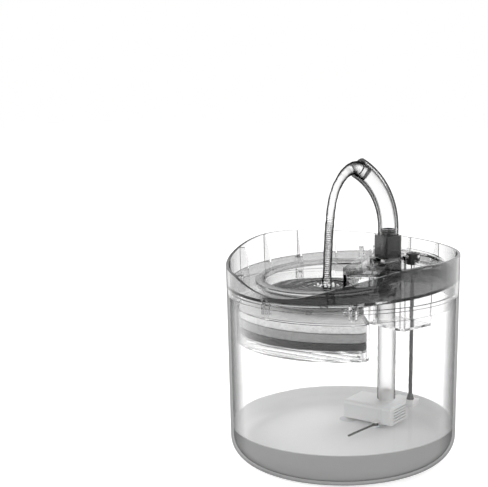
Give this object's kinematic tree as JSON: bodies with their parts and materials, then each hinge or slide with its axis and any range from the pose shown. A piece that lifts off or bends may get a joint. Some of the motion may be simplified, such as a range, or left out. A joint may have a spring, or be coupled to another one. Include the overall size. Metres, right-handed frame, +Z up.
{
  "type": "pet water fountain",
  "caption": "Clear round pet water fountain: sloping lid with drinking dish, swan-neck faucet, half-moon filter box and small submerged pump.",
  "frame": {"origin": "centre of the tank's underside, on the surface the fountain stands on", "axes": "+Z up, -Y towards the low drinking lip, +X to the right seen from the drinking side"},
  "size_m": [0.18, 0.18, 0.2312],
  "materials": {
    "clear_tank": "clear moulded plastic, polished",
    "clear_lid": "clear moulded plastic, polished",
    "smoke_dish": "smoke tinted clear plastic",
    "clear_cover": "clear moulded plastic",
    "clear_well": "clear moulded plastic",
    "clear_neck": "clear bent tube",
    "dark_connector": "dark grey smooth plastic",
    "milky_tube": "milky white tube",
    "pump_white": "fine textured white plastic",
    "pump_light": "white plastic",
    "rubber_seal": "soft rubber",
    "rubber_feet": "translucent soft rubber",
    "lead_grey": "dark grey cable sheath",
    "inlet_black": "black plastic",
    "pin_metal": "plated pin",
    "laminations": "stacked steel sheets",
    "copper_coil": "enamelled copper wire",
    "magnet_dark": "moulded ferrite",
    "impeller_white": "white plastic",
    "shaft_ceramic": "polished ceramic",
    "foam_black": "open cell foam",
    "clear_box": "clear moulded plastic",
    "cotton_white": "white felted wadding",
    "resin_grey": "grey granule pad",
    "carbon_black": "black carbon felt"
  },
  "bodies": {
    "tank": {"tank": "clear_tank"},
    "faucet": {"faucet_neck": "clear_neck"},
    "filter_tray": {"filter_box": "clear_box", "filter_grille": "clear_box", "filter_carbon": "carbon_black", "filter_resin": "resin_grey", "filter_cotton": "cotton_white"},
    "rotor": {"rotor_magnet": "magnet_dark", "impeller": "impeller_white"},
    "flow_lever": {"flow_lever": "clear_neck"},
    "lid": {"lid": "clear_lid", "dish": "smoke_dish", "service_cover": "clear_cover", "lead_well": "clear_well", "faucet_socket": "clear_cover", "faucet_connector": "dark_connector", "connector_seal": "rubber_seal", "riser_tube": "milky_tube", "pump_casing": "pump_white", "pump_rear_cap": "pump_white", "stator_core": "laminations", "stator_coil": "copper_coil", "impeller_shaft": "shaft_ceramic", "rear_bush": "rubber_seal", "volute_plate": "pump_light", "strainer_cover": "pump_light", "intake_foam": "foam_black", "suction_feet": "rubber_feet", "lever_bracket": "pump_white", "lead_gland": "lead_grey", "power_lead": "lead_grey", "power_inlet": "inlet_black", "inlet_pin": "pin_metal"}
  },
  "joints": [
    {"name": "lid_lift", "type": "slide", "parent": "tank", "child": "lid", "axis": [0, 0, 1], "range_m": [0, 0.15]},
    {"name": "faucet_swivel", "type": "hinge", "parent": "lid", "child": "faucet", "pos_m": [0.0108, 0.0499, 0.17], "axis": [0, 0, 1], "range_deg": [-75, 75]},
    {"name": "filter_pull", "type": "slide", "parent": "lid", "child": "filter_tray", "axis": [0, 0, -1], "range_m": [0, 0.03]},
    {"name": "impeller_spin", "type": "hinge", "parent": "lid", "child": "rotor", "pos_m": [0.0108, 0.0499, 0.0185], "axis": [1, 0, 0], "continuous": true},
    {"name": "flow_lever_turn", "type": "hinge", "parent": "lid", "child": "flow_lever", "pos_m": [0.013, 0.0293, 0.009], "axis": [0, 0, 1], "range_deg": [-25, 25]}
  ]
}
